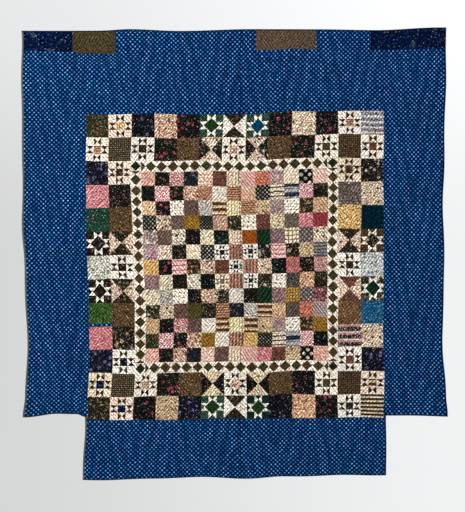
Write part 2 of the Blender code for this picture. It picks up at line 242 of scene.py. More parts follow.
def faces_outward(obj, farthest, inward):
    """Evens out the normals, and turns them over if the farthest face's one points inward."""
    with editing(obj.data) as bm:
        bmesh.ops.recalc_face_normals(bm, faces=bm.faces)
        if inward(min(bm.faces, key=farthest).normal):
            bmesh.ops.reverse_faces(bm, faces=bm.faces)


def point_attribute(obj, name, values):
    made = obj.data.attributes.new(name, "FLOAT_VECTOR", "POINT")
    made.data.foreach_set("vector", np.ascontiguousarray(values, np.float32).ravel())


def cells(columns, rows, closed=False):
    """Each cell's column and row, then its corners from the upper left, clockwise. Where closed, the
    last row of points joins the first."""
    i, j = (a.ravel() for a in np.meshgrid(np.arange(columns), np.arange(rows)))
    a = j * (columns + 1) + i
    d = ((j + 1) % rows if closed else j + 1) * (columns + 1) + i
    return i, j, a, a + 1, d + 1, d


def grid(name, xs, zs, place, backslash=None, flip=False):
    """A sheet over xs by zs, zs running down. Where backslash is given, each cell is two
    triangles, split from its upper left corner to its lower right one where it is true.
    Returns the object and each face's middle, counted in cells from the upper left."""
    nx, nz = len(xs) - 1, len(zs) - 1
    x, z = (a.ravel() for a in np.meshgrid(xs, zs))
    i, j, a, b, c, d = cells(nx, nz)
    if backslash is None:
        corners = np.stack([a, d, c, b], 1)
        middle = np.stack([i + 0.5, j + 0.5], 1)
    else:
        s = backslash.ravel()
        first = np.stack([a, d, np.where(s, c, b)], 1)
        second = np.stack([np.where(s, a, d), c, b], 1)
        corners = np.stack([first, second], 1).reshape(-1, 3)
        one = np.stack([i + 1 / 3, j + np.where(s, 2 / 3, 1 / 3)], 1)
        two = np.stack([i + 2 / 3, j + np.where(s, 1 / 3, 2 / 3)], 1)
        middle = np.stack([one, two], 1).reshape(-1, 2)
    if flip:
        corners = corners[:, ::-1]
    obj = mesh_object(name, place(x, z), corners.ravel(), np.full(len(corners), corners.shape[1]))
    u = (x - xs.min()) / np.ptp(xs)
    bake_map(obj, u, (z - zs.min()) / np.ptp(zs))
    point_attribute(obj, "flat", np.stack([x, z, quilting_rows(x, z)], 1))
    return obj, middle


JOINED_AT_FOLD = {"blocks_bottom", "foot_drop_top", "batting_main", "batting_foot"}
JOINED_AT_FOLD |= {"backing_left", "backing_centre", "backing_right", "backing_foot"}
JOINED_AT_FOLD |= {"binding_foot_left", "binding_foot_right"}


def lines(start, end, pitch):
    return np.linspace(start, end, max(2, round(abs(end - start) / pitch)) + 1)


def sewn(obj, node):
    """The cloth stands for its node. A piece joined at the foot drop's seam keeps its place and
    follows no body; any other moves with its node's body."""
    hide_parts(node)
    if node in JOINED_AT_FOLD:
        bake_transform(obj)
    else:
        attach(obj, frame["nodes"][node]["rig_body"])


# ------------------------------------------------------------------------------ print table


def colour(code):
    """A linear colour from an sRGB one in hexadecimal."""
    parts = [int(code[k : k + 2], 16) / 255 for k in (0, 2, 4)]
    return [p / 12.92 if p < 0.04045 else ((p + 0.055) / 1.055) ** 2.4 for p in parts]


# A row is a name, a kind, the ground's colour, the first ink and its cover, the second ink and its
# cover, the repeat in mm and the turn in degrees. The rows' order sets how each print is shifted,
# so dw, which nothing uses, keeps its row.
PRINT_ROWS = """
border dots 033068 000814 0.5 78c0f0 1 22 0
navy floral 040e28 0a2454 0.4 34485c 0.06 34 0
olive strokes 443d28 3c3524 0.4 5e5540 0.3 18 0
brown strokes 5b4c3e 463a2e 0.4 6b5b4a 0.3 18 0
sash strokes 483a28 30281a 0.4 5c4a30 0.3 16 20
sash2 strokes 3c3a26 2a2a1a 0.4 504a2c 0.3 16 60
corner strokes 20281a 171c12 0.4 2c3a22 0.3 16 0
dark floral 2a2019 46382a 0.3 5c4a3c 0.1 17 0
light strokes f4e6d2 cdb08f 0.3 fcf6ec 0.4 17 75
light2 strokes f0ddc0 c6a482 0.36 f8ecd8 0.35 16 50
white strokes f4e9da cfbfa6 0.26 fdfaf4 0.4 18 105
blush strokes f2dcc8 d8ae9a 0.34 faeee0 0.35 17 65
kg floral 17170f 44502e 0.42 7c4434 0.22 17 0
kb floral 0e0e12 20242e 0.28 565a72 0.12 20 0
kr floral 100e0e 242e2a 0.32 963c50 0.13 21 0
kr2 floral 11120d 283426 0.34 9c4250 0.15 20 0
kw floral 141210 4c463c 0.26 c8c0ae 0.16 18 0
kf floral 15120d 4a4230 0.34 8a7a58 0.14 15 0
ku floral 0e0f14 26304a 0.3 6a6088 0.14 20 0
kx floral 14120f 342c26 0.34 544840 0.14 14 0
kc floral 171310 3c3026 0.3 b89e78 0.22 24 0
kt floral 0e110f 1c2824 0.32 3c5048 0.12 16 0
gt floral 103a30 1c4c38 0.42 3a2c1c 0.25 16 0
nt strokes 051e2c 0a3040 0.35 04121c 0.4 18 30
kd dots 131410 131410 0.95 d0ccbc 0.85 20 0
kd2 dots 15160f 15160f 0.9 949888 0.8 16 0
dw dots 1d1714 1d1714 0.9 d8cfbe 0.8 17 20
gd dots 0c3626 082419 0.6 b8d0bc 0.55 12 0
gn strokes 1e3a1c 152a14 0.4 2c4a26 0.3 13 40
gk strokes 122a22 0c1c18 0.4 1c3c30 0.3 13 40
tb strokes 06405c 042c44 0.4 0e5a78 0.3 13 20
lg floral 2c4e1e 40662a 0.45 1a3210 0.2 14 0
bb floral 06507e 3a88ac 0.34 043454 0.3 14 0
ck check 29221b 3e342a 0.4 aa9878 0.62 10 0
ck2 check 281d16 443222 0.4 8c7458 0.6 10 0
bf floral 4c3621 7c6242 0.38 2c1c0e 0.18 15 0
bg floral 61452d 8f6f4b 0.4 3c2616 0.18 15 0
bm strokes 665048 40302a 0.42 8c7468 0.32 16 55
br strokes 684236 40241c 0.42 946a58 0.32 16 55
ru strokes 96501f 6e3412 0.42 b0682e 0.3 16 0
mu strokes 946c28 6c4c18 0.42 b08c48 0.3 16 70
ov strokes 4c4620 38341a 0.45 625a2e 0.3 16 35
gb strokes 6c6054 50463c 0.42 8c8070 0.3 14 55
do floral 26241a 3c3a28 0.35 c8bc9c 0.22 20 0
db floral 2e2218 4a3828 0.35 ac8456 0.24 20 0
dn floral 1b1c20 2a2c34 0.32 5a5866 0.14 18 0
dg stripe 142c1c 24442c 0.45 0b1810 0.4 18 35
tan strokes c6a27e 8e6a48 0.36 dcc0a0 0.34 16 50
to strokes c89a6c 80502c 0.38 f0dcbc 0.5 17 40
ty strokes c8a264 a88044 0.36 dcc08a 0.3 16 60
yg floral e6c284 a87838 0.38 74481e 0.12 14 0
pk strokes d0868a a04c5a 0.44 ecc0bc 0.4 20 50
sp strokes c87c80 98505a 0.42 e4b0ae 0.36 19 60
sal strokes daa692 ae6e64 0.38 f0cebc 0.36 18 45
rs strokes b8706c 94504e 0.4 d0948c 0.3 16 50
sr strokes c4745c 904434 0.4 e0a890 0.34 18 50
cr strokes 8c3a40 5c2028 0.4 b04c44 0.3 14 50
pm floral e4bcb0 8c3440 0.42 c06070 0.22 15 0
pd dots dcb0a6 c89690 0.9 742434 0.95 12 0
lil strokes a88e8a 745854 0.42 ccb8b0 0.34 17 50
mc strokes 907272 604a4c 0.42 b09494 0.32 16 60
mb floral bca6a2 6c6080 0.36 a84868 0.26 20 0
lat check f0dcd2 c4606e 0.55 741c2c 0.65 20 45
pr stripe e0b0a8 a04450 0.28 f4d8cc 0.35 22 90
ppk strokes e8c4b4 cc9484 0.34 f4dccc 0.34 16 50
gm floral 6c5e58 40322e 0.42 a89488 0.28 16 0
px floral 5c2434 a8707c 0.36 d0a080 0.22 17 0
cs floral f0dcc0 a04a38 0.46 5c3c24 0.2 15 0
cb floral efdec4 94603c 0.38 4c2c20 0.16 16 0
cf floral f2e2ca a4604c 0.38 703428 0.14 17 0
cy floral f0e0bc a88c60 0.34 8c5444 0.12 17 0
cd floral f0e4cc 54443a 0.26 3c3028 0.16 16 0
cr2 stripe ecd8bc a4443c 0.16 dc9c90 0.25 17 90
cv stripe f2e2ca 80563c 0.18 a88064 0.3 15 0
cl stripe ecdcc4 2c201c 0.3 7c5444 0.25 21 90
cg strokes e6dccd a2947e 0.36 f2ece0 0.34 16 70
gc floral d0c8bc 7c7264 0.38 ece6da 0.2 16 0
ct floral dec4a0 9c744e 0.38 6c4830 0.14 16 0
pt floral e4bc98 a87250 0.36 7c4c34 0.12 15 0
co strokes e4d4b4 74603e 0.36 f2e8d2 0.34 18 40
ca floral f0e2ca 362822 0.3 181410 0.2 20 0
yl stripe e8d8a8 a89c6c 0.26 f6ecc8 0.3 14 0
pe strokes dab492 b07e60 0.36 ecd0b4 0.34 17 50
pw floral dcdcd4 8c9ca8 0.34 5c6c7c 0.16 16 0
pg floral e0ddd0 a0a494 0.36 7c8474 0.14 17 0
st stripe c87c70 12141e 0.56 ccdce0 0.5 26 90
sb stripe e4d4b4 20160e 0.55 7c5a40 0.2 19 90
ns stripe b87c78 1a1a22 0.55 dcd0c4 0.3 38 90
tg stripe c8a05c 6c4a24 0.4 ecd8ac 0.4 11 0
rb stripe 94503c 4c2820 0.45 dcb48c 0.4 12 90
bs stripe dcc8a4 442818 0.56 9c6c48 0.3 28 90
vs stripe 9a5c4a 44221e 0.45 d0a890 0.4 16 0
gs stripe 6c6864 34343c 0.45 a8a4a0 0.35 15 90
nb stripe b0aeac 1c2430 0.48 707480 0.3 46 90
mh check a4803c 7c5c24 0.45 c8a86c 0.6 14 0
rt strokes a87c60 744832 0.42 d4b098 0.34 17 50
pb strokes c49c84 74503e 0.42 ecd4c0 0.38 18 50
wd check f0e4d0 f6eee0 0.4 241a14 1 20 45
ws check f2e6d2 f6ecda 0.4 2a201a 1 22 10
md dots b09c98 a08c88 0.9 1c1616 1 15 45
kv dots 12100e 12100e 1 dcd4c6 1 40 0
lk check 7c706c 342e30 0.45 c4b8ac 0.55 16 45
ok check e8dabc 74583c 0.3 f0e6d0 0.6 20 0
kj floral 3a342e 7c746c 0.34 14110e 0.3 15 0
gj strokes 584e44 38322a 0.42 786c60 0.3 16 55
mf floral c2aea2 584640 0.42 ece0d4 0.3 18 0
"""
PRINTS = {}
for row in PRINT_ROWS.split("\n")[1:-1]:
    name, kind, ground, ink_one, cover_one, ink_two, cover_two, repeat, turn = row.split()
    inks = (ground, ink_one, float(cover_one), ink_two, float(cover_two))
    PRINTS[name] = (kind, *inks, float(repeat), float(turn))
NAMES = list(PRINTS)
INDEX = {name: k for k, name in enumerate(NAMES)}
KINDS = ["dots", "floral", "stripe", "check", "strokes"]

# The ring of blocks. A plain block names its print. S is a star: print of its middle, its ground,
# its points. L is the star with its colours the other way about: corners, middle. V and H are one
# large hourglass with its dark halves at the sides, or above and below. T has a strip under it.
RING = """
kg S/tg/blush kb cs kr L/gd/gn H/kf/white L/gd/tb kr cb kr S/rb/white st
S/rb/light ck S/dark/white kr2 bf V/kw/cf S/cs/light V/kw/cf bf kr2 S/olive/light ck2 S/br/light
ku S/dark/blush . . . . . . . . . S/db/light2 kw
pk kx . . . . . . . . . gm cb
gt bf . . . . . . . . . yg nt
L/kx/kx H/kf/cf . . . . . . . . . H/dark/cf L/ck2/kc
pg S/kx/white . . . . . . . . . S/dark/white pw
L/kx/kx H/kf/cf . . . . . . . . . H/br/cf L/do/gk
T/lg/border bf . . . . . . . . . bg bb
sp kc . . . . . . . . . ns cb
ku S/ku/white . . . . . . . . . S/br/white ku
S/navy/light2 ck S/ct/light kr2 bf V/kr/cy S/cs/light V/kr/cy bf kr S/olive/light ck2 S/bs/blush
kf S/navy/blush kr ct ku L/gd/gn H/kf/white L/gk/gn kb pt kr S/dark/white sb
"""

MEDALLION = """
sal kx pm dn cr2 br cv pd sr lil light2 kv ppk
kt lat kr2 cs rt cg rb pe kd cl nb lat kx
to kr wd bm gc bs yl rb ct lil wd db tan
kd cb bm mu kd2 pb do ws br cy gb pk cr
mf bm ca kr co kt cv ru dg mc ok lk cb
mb cf kx light2 kd *kx/white vs *dn/white kw pr kc ct gs
ty kr pr db cf br *kx/white vs cb kt rs kc pm
mc co kx cd kt *gb/light2 vs *kx/white do ws kj pt kf
co gc ws kr cs do cg kx dg mc mh lk px
do cb bm ov kf rb dn gc bs tan gj sr md
tan kr pm bm cg bs yl bs ct lil wd db mu
kg lat kr2 cs mu cg vs ty kd2 cl nb lat kt
sal kx cs dn ppk bm cv pd sp br ct kv sal
"""


def star(u, v, ground, points, middle):
    """Nine units; u and v run from 0 to 3, v down. Returns each place's print number."""
    cu, cv = np.floor(u), np.floor(v)
    a, b = u - cu - 0.5, v - cv - 0.5
    sideways = np.abs(a) > np.abs(b)
    out = np.full(len(u), INDEX[ground])
    out[(cu == 1) & (cv != 1) & sideways] = INDEX[points]
    out[(cv == 1) & (cu != 1) & ~sideways] = INDEX[points]
    out[(cu == 1) & (cv == 1)] = INDEX[middle]
    return out


def turned_star(u, v, corners, middle):
    cu, cv = np.floor(u), np.floor(v)
    a, b = u - cu - 0.5, v - cv - 0.5
    sideways = np.abs(a) > np.abs(b)
    above, beside = (cu == 1) & (cv != 1), (cv == 1) & (cu != 1)
    out = np.full(len(u), INDEX[corners])
    out[(above & sideways) | (beside & ~sideways)] = INDEX["white"]
    inner = (above & ~sideways & (b * (1 - cv) > 0)) | (beside & sideways & (a * (1 - cu) > 0))
    out[inner | ((cu == 1) & (cv == 1))] = INDEX[middle]
    return out


def block(word, u, v):
    """The print of each place in a block."""
    kind, *rest = word.split("/")
    if kind == "S":
        return star(u, v, rest[1], "dark", rest[0])
    if kind.startswith("*"):
        return star(u, v, rest[0], kind[1:], kind[1:])
    if kind == "L":
        return turned_star(u, v, *rest)
    if kind in ("V", "H"):
        sideways = np.abs(u - 1.5) > np.abs(v - 1.5)
        dark, pale = INDEX[rest[0]], INDEX[rest[1]]
        return np.where(sideways == (kind == "V"), dark, pale)
    if kind == "T":
        return np.where(v > 2.62, INDEX[rest[1]], INDEX[rest[0]])
    return np.full(len(u), INDEX[kind])


def dress(obj, prints, seeds):
    """Gives each face its print: the material of its kind, its colours, and how it was cut."""
    table = [PRINTS[n] for n in NAMES]
    ground = np.array([[*colour(p[1]), 1.0] for p in table])
    first = np.array([[*colour(p[2]), p[3]] for p in table])
    second = np.array([[*colour(p[4]), p[5]] for p in table])
    repeat = np.array([[p[6] / 1000, math.radians(p[7])] for p in table])
    kind = np.array([KINDS.index(p[0]) for p in table])
    used = sorted(set(kind[prints]))
    for k in used:
        obj.data.materials.append(PRINT_MATERIALS[KINDS[k]])
    slots = np.searchsorted(used, kind[prints])
    obj.data.polygons.foreach_set("material_index", slots.astype(np.int32))
    tint = 1 + 0.10 * (np.sin(seeds * 12.9898) * 43758.5453 % 1 - 0.5)
    for name, values in (("ground", ground), ("ink_one", first), ("ink_two", second)):
        made = obj.data.attributes.new(name, "FLOAT_COLOR", "FACE")
        shade = values[prints].copy()
        shade[:, :3] *= tint[:, None]
        made.data.foreach_set("color", shade.astype(np.float32).ravel())
    cut = np.column_stack([repeat[prints], seeds])
    made = obj.data.attributes.new("cut", "FLOAT_VECTOR", "FACE")
    made.data.foreach_set("vector", cut.astype(np.float32).ravel())


# ------------------------------------------------------------------------------- materials


class Nodes:
    """Short names for building a material's nodes."""

    def __init__(self, name):
        self.material = bpy.data.materials.new(name)
        self.material.use_nodes = True
        self.tree = self.material.node_tree
        self.shader = self.tree.nodes["Principled BSDF"]

    def add(self, kind, inputs=(), **settings):
        node = self.tree.nodes.new(f"ShaderNode{kind}")
        for key, value in settings.items():
            setattr(node, key, value)
        for key, value in dict(inputs).items():
            self.feed(value, node.inputs[key])
        return node

    def feed(self, value, socket):
        if isinstance(value, bpy.types.NodeSocket):
            self.tree.links.new(value, socket)
        else:
            socket.default_value = value

    def join(self, x, y, z=0.0):
        return self.add("CombineXYZ", {0: x, 1: y, 2: z}).outputs[0]

    def split(self, value):
        return self.add("SeparateXYZ", {0: value}).outputs

    def math(self, operation, a, b=0.0, c=0.0):
        node = self.add("Math", {0: a, 1: b, 2: c}, operation=operation)
        return node.outputs[0]

    def vector(self, operation, a, b=(0, 0, 0)):
        node = self.add("VectorMath", {0: a, 1: b}, operation=operation)
        return node.outputs["Value" if operation in ("LENGTH", "DOT_PRODUCT") else "Vector"]

    def times(self, a, b):
        return self.math("MULTIPLY", a, b)

    def soft(self, value, start, end, low_value=0.0, high_value=1.0):
        inputs = {0: value, 1: start, 2: end, 3: low_value, 4: high_value}
        return self.add("MapRange", inputs, interpolation_type="SMOOTHSTEP").outputs[0]

    def mix(self, factor, a, b, blend="MIX"):
        node = self.add("Mix", {0: factor, 6: a, 7: b}, data_type="RGBA", blend_type=blend)
        return node.outputs[2]

    def attribute(self, name):
        return self.add("Attribute", attribute_name=name)

    def noise(self, vector, scale, detail=2.0, rough=0.5, dimensions="3D"):
        inputs = {"Vector": vector, "Scale": scale, "Detail": detail, "Roughness": rough}
        return self.add("TexNoise", inputs, noise_dimensions=dimensions).outputs["Fac"]

    def finish(self, base, roughness, height=None, strength=0.3, distance=0.0005):
        self.feed(base, self.shader.inputs["Base Color"])
        self.feed(roughness, self.shader.inputs["Roughness"])
        if height is not None:
            inputs = {"Height": height, "Strength": strength, "Distance": distance}
            bump = self.add("Bump", inputs)
            self.feed(bump.outputs["Normal"], self.shader.inputs["Normal"])
        return self.material


def cloth_wear_and_painted_light(
    n, base, flat_xyz, weave_mm=0.9, valley_painted_shade=0.36, crown_painted_highlight=1.34, mottled=(0.42, 1.42), crease_painted_shade=0.66
):
    """Ages a cloth colour, paints shade along the quilting's stitches and highlight on the puffs between
    them, paints shade along the fold crease, and gives it a weave.
    """
    x, z, rows = flat_xyz
    place = n.join(x, z)
    row = n.math("ABSOLUTE", n.math("SINE", n.times(rows, math.pi)))
    worn = n.noise(place, 60.0, 3.0)
    # Painted shade along each line of stitches and painted highlight on the puffed crown between two, firmer
    # in some places than others
    line = n.soft(row, 0.08, 0.98, valley_painted_shade, crown_painted_highlight)
    firm = n.soft(n.noise(place, 22.0, 2.0), 0.35, 0.62, 0.4, 1.0)
    line = n.math("MULTIPLY_ADD", firm, n.math("SUBTRACT", line, 1.0), 1.0)
    age = n.soft(n.noise(place, 7.0, 4.0), 0.3, 0.7, 0.90, 1.07)
    shade = n.times(n.times(line, age), n.soft(worn, 0.3, 0.7, 0.93, 1.06))
    # Painted shade along the old fold crease down the middle of the quilt
    fold = n.math("ABSOLUTE", n.math("SUBTRACT", x, ZIG_PEAK_X))
    shade = n.times(shade, n.soft(fold, 0.0, 0.012, crease_painted_shade, 1.0))
    mottle = n.soft(n.noise(place, 120.0, 2.0, 0.6), 0.36, 0.64, *mottled)
    shade = n.times(shade, mottle)
    toned = n.vector("SCALE", base)
    n.feed(shade, toned.node.inputs["Scale"])
    pitch = 2 * math.pi / (weave_mm / 1000)
    warp = n.math("SINE", n.times(x, pitch))
    weft = n.math("SINE", n.times(z, pitch))
    height = n.times(warp, weft)
    n.shader.inputs["Specular IOR Level"].default_value = 0.0
    rough = n.soft(worn, 0.2, 0.8, 0.82, 0.95)
    return n.finish(toned, rough, height, 0.18, 0.0003)


def print_material(kind):
    n = Nodes(f"print_{kind}")
    x, z, rows = n.split(n.attribute("flat").outputs["Vector"])
    size, turn, seed = n.split(n.attribute("cut").outputs["Vector"])
    place = n.join(x, z)
    turned = n.add("VectorRotate", {"Vector": place, "Angle": turn}, rotation_type="Z_AXIS")
    scaled = n.vector("DIVIDE", turned.outputs[0], n.join(size, size, size))
    shift = n.vector("MULTIPLY", n.join(seed, seed, seed), (7.3, 3.1, 1.7))
    p = n.vector("ADD", scaled, shift)
    parts = n.split(p)
    ground = n.attribute("ground").outputs["Color"]
    one, two = n.attribute("ink_one"), n.attribute("ink_two")
    ink_one, cover_one = one.outputs["Color"], one.outputs["Alpha"]
    ink_two, cover_two = two.outputs["Color"], two.outputs["Alpha"]
    # Noise is mostly near a half, so this threshold lets about the wanted share through
    edge_one = n.math("MULTIPLY_ADD", cover_one, -0.42, 0.71)
    edge_two = n.math("MULTIPLY_ADD", cover_two, -0.42, 0.71)

    def above(value, edge, blur=0.035):
        return n.soft(value, n.math("SUBTRACT", edge, blur), n.math("ADD", edge, blur))

    if kind == "floral":
        leaves = above(n.noise(p, 2.6, 3.0, 0.62), edge_one)
        cells = n.add("TexVoronoi", {"Vector": p, "Scale": 0.9, "Randomness": 0.9})
        picked = n.add("SeparateColor", {0: cells.outputs["Color"]}).outputs[0]
        petals = n.math("MULTIPLY_ADD", n.noise(p, 5.0, 1.0), 0.5, -0.25)
        reach = n.math("ADD", cells.outputs["Distance"], petals)
        chosen = n.math("LESS_THAN", picked, n.times(cover_two, 2.2))
        bloom = n.times(n.soft(reach, 0.42, 0.30), chosen)
        base = n.mix(bloom, n.mix(leaves, ground, ink_one), ink_two)
        specks = n.add("TexVoronoi", {"Vector": place, "Scale": 290.0})
        speck = n.add("SeparateColor", {0: specks.outputs["Color"]}).outputs
        pale = n.mix(speck[0], ink_two, (0.62, 0.58, 0.50, 1))
        rare = n.math("MULTIPLY_ADD", cover_two, -0.30, 0.99)
        pick = n.math("GREATER_THAN", speck[1], rare)
        base = n.mix(n.times(pick, 0.7), base, pale)
        deep = n.mix(0.7, ink_one, (0.004, 0.004, 0.004, 1))
        base = n.mix(n.soft(speck[2], 0.24, 0.20, 0.0, 0.8), base, deep)
    elif kind == "strokes":
        along = n.vector("MULTIPLY", p, (2.3, 0.55, 1.0))
        dark = above(n.noise(along, 1.9, 4.0, 0.65), edge_one, 0.05)
        other = n.vector("ADD", along, (31.0, 17.0, 5.0))
        pale = above(n.noise(other, 1.7, 4.0, 0.65), edge_two, 0.06)
        base = n.mix(dark, n.mix(pale, ground, ink_two), ink_one)
    elif kind == "stripe":
        sway = n.math("MULTIPLY_ADD", n.noise(p, 1.4), 0.24, parts[0])
        saw = n.math("ABSOLUTE", n.math("MULTIPLY_ADD", n.math("FRACT", sway), 2.0, -1.0))
        band = n.soft(n.math("SUBTRACT", saw, cover_one), 0.08, -0.08)
        thin = n.math("FRACT", n.math("MULTIPLY_ADD", sway, 2.0, 0.3))
        line = n.math("LESS_THAN", thin, n.times(cover_two, 0.7))
        flecks = above(n.noise(p, 5.0, 2.0), edge_two, 0.05)
        inked = n.mix(band, n.mix(line, ground, ink_two), ink_one)
        base = n.mix(n.times(flecks, 0.6), inked, ink_two)
    else:
        half = (0.5, 0.5, 0.5)
        first = n.vector("SUBTRACT", n.vector("FRACTION", p), half)
        second = n.vector("SUBTRACT", n.vector("FRACTION", n.vector("ADD", p, half)), half)
        flat_first = n.vector("MULTIPLY", first, (1.0, 1.0, 0.0))
        flat_second = n.vector("MULTIPLY", second, (1.0, 1.0, 0.0))
        apart = n.math("MINIMUM", n.vector("LENGTH", flat_first), n.vector("LENGTH", flat_second))
        ragged = n.math("MULTIPLY_ADD", n.noise(p, 3.0, 2.0), 0.16, -0.08)
        apart = n.math("ADD", apart, ragged)
        if kind == "dots":
            rim = n.math("MULTIPLY_ADD", cover_one, 0.15, 0.10)
            dot = n.times(n.soft(apart, rim, n.math("SUBTRACT", rim, 0.075)), cover_two)
            bright = n.soft(n.noise(p, 1.6, 2.0), 0.36, 0.64, 0.25, 1.0)
            dot = n.times(dot, bright)
            gap = n.soft(apart, 0.24, 0.44)
            base = n.mix(dot, n.mix(gap, ground, ink_one), ink_two)
        else:
            around = n.split(first)
            edge_x = n.math("ABSOLUTE", around[0])
            edge_z = n.math("ABSOLUTE", around[1])
            outermost = n.math("MAXIMUM", edge_x, edge_z)
            lattice = n.soft(n.math("ADD", outermost, ragged), 0.34, 0.42)
            spot = n.soft(n.math("ADD", n.vector("LENGTH", flat_first), ragged), 0.26, 0.16)
            spot = n.times(spot, n.soft(n.noise(p, 1.1), 0.3, 0.6, 0.3, 1.0))
            base = n.mix(spot, n.mix(lattice, ground, ink_one), ink_two)
    # The dots get a milder mottle, deeper painted shade along the stitches and brighter painted highlight on
    # the crowns
    calm = {"mottled": (0.66, 1.26), "valley_painted_shade": 0.20, "crown_painted_highlight": 1.46} if kind == "dots" else {}
    return cloth_wear_and_painted_light(n, base, (x, z, rows), **calm)


PRINT_MATERIALS = {kind: print_material(kind) for kind in KINDS}


def plain_cloth(name, code, other, weave_mm, valley_painted_shade, crown_painted_highlight=1.04):
    """Unprinted cotton, a little uneven and stained."""
    n = Nodes(name)
    x, z, rows = n.split(n.attribute("flat").outputs["Vector"])
    place = n.join(x, z)
    stain = n.soft(n.noise(place, 3.2, 5.0, 0.6), 0.46, 0.70, 0.0, 0.35)
    slub = n.noise(n.vector("MULTIPLY", place, (900.0, 60.0, 1.0)), 1.0, 2.0)
    base = n.mix(stain, (*colour(code), 1.0), (*colour(other), 1.0))
    base = n.mix(n.soft(slub, 0.35, 0.65, 0.0, 0.18), base, (*colour(other), 1.0))
    # Light painted shade along the fold crease and a narrow mottle
    return cloth_wear_and_painted_light(n, base, (x, z, rows), weave_mm, valley_painted_shade, crown_painted_highlight, (0.96, 1.03), 0.9)


# After the weave come the painted shade along the stitches and the painted highlight between them
MUSLIN = plain_cloth("muslin", "d2c9b4", "b6a888", 1.1, 0.62)
SLEEVE_COTTON = plain_cloth("sleeve_cotton", "d9d2bf", "c3b9a0", 1.1, 1.0, 1.0)
EDGE_DARK = plain_cloth("binding_dark", "0b1c33", "14283f", 0.8, 0.8)
EDGE_GREY = plain_cloth("binding_grey_green", "565c50", "434a40", 0.8, 0.85)
WADDING = plain_cloth("wadding_cotton", "dcd3bd", "c6b998", 3.0, 0.9)


# --------------------------------------------------------------------------- the quilt top


def face_relief(x, z, patch_edge=None):
    """Depth of the quilt's face: puffed between the stitches, drawn in at the patches' seams."""
    rise = PUFF * (1.5 * puffed(x, z) - 0.7)
    rise = rise + 0.0003 * np.sin(160 * x + 50 * z) * np.sin(140 * z - 60 * x)
    rise = rise - 0.0012 * step(np.abs(x - ZIG_PEAK_X), 0.010, 0.0)  # it was long kept folded here
    if patch_edge is not None:
        rise = rise - 0.0007 * step(patch_edge, 0.003, 0.0)
    return FRONT - np.maximum(rise, -WADDING_DEPTH + 0.0003)  # the wadding stays behind it


def seam_distance(x, z, seam_xs, seam_zs):
    nearest = np.full(x.shape, 1.0)
    for s in seam_xs:
        nearest = np.minimum(nearest, np.abs(x - s))
    for s in seam_zs:
        nearest = np.minimum(nearest, np.abs(z - s))
    return nearest


def face_place(seam_xs, seam_zs, foot=False):
    def place(x, z):
        near = face_relief(x, z, seam_distance(x, z, seam_xs, seam_zs))
        return draped(x, up_to_corner(x, z) if foot else z, near)

    return place


def span_of(node):
    """A piece's outline with its share of the seams' gaps. An edge beside the fold is at the fold."""
    a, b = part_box(node)
    ends = (a[2] - SEAM_HALF, b[2] + SEAM_HALF)
    z0, z1 = (FOLD_Z if abs(z - FOLD_Z) < FOLD_REACH else z for z in ends)
    return a[0] - SEAM_HALF, b[0] + SEAM_HALF, z0, z1


def plain_piece(node, print_name):
    """A top piece cut from one print."""
    x0, x1, z0, z1 = span_of(node)
    xs, zs = lines(x0, x1, FINE_PITCH), lines(z1, z0, FINE_PITCH)
    obj, middle = grid(f"{node}_cloth", xs, zs, face_place((x0, x1), (z0, z1), z1 == FOLD_Z))
    dress(obj, np.full(len(middle), INDEX[print_name]), np.full(len(middle), 0.0))
    sewn(obj, node)


def hourglass_split(columns, rows, unit):
    """Which cells split like a backslash, so that the units' triangles have clean edges."""
    i, j = np.meshgrid(np.arange(columns) + 0.5, np.arange(rows) + 0.5)
    return (i % unit - unit / 2) * (j % unit - unit / 2) > 0


def block_piece(node, words, first_column, first_row, columns, rows):
    """Part of the ring of blocks, 36 cells to a block."""
    x0, x1, z0, z1 = span_of(node)
    xs, zs = np.linspace(x0, x1, columns * 36 + 1), np.linspace(z1, z0, rows * 36 + 1)
    seam_xs = [x0 + k * BLOCK_W for k in range(columns + 1)]
    seam_zs = [z1 - k * BLOCK_H for k in range(rows + 1)]
    split = hourglass_split(columns * 36, rows * 36, 12)
    obj, middle = grid(f"{node}_cloth", xs, zs, face_place(seam_xs, seam_zs), split)
    u, v = middle[:, 0] / 12, middle[:, 1] / 12
    prints = np.zeros(len(middle), int)
    seeds = np.zeros(len(middle))
    for r in range(rows):
        for c in range(columns):
            here = (u >= 3 * c) & (u < 3 * c + 3) & (v >= 3 * r) & (v < 3 * r + 3)
            word = words[first_row + r][first_column + c]
            prints[here] = block(word, u[here] - 3 * c, v[here] - 3 * r)
            seeds[here] = (first_row + r) * 13 + first_column + c + 1
    dress(obj, prints, seeds + prints * 0.37)
    sewn(obj, node)


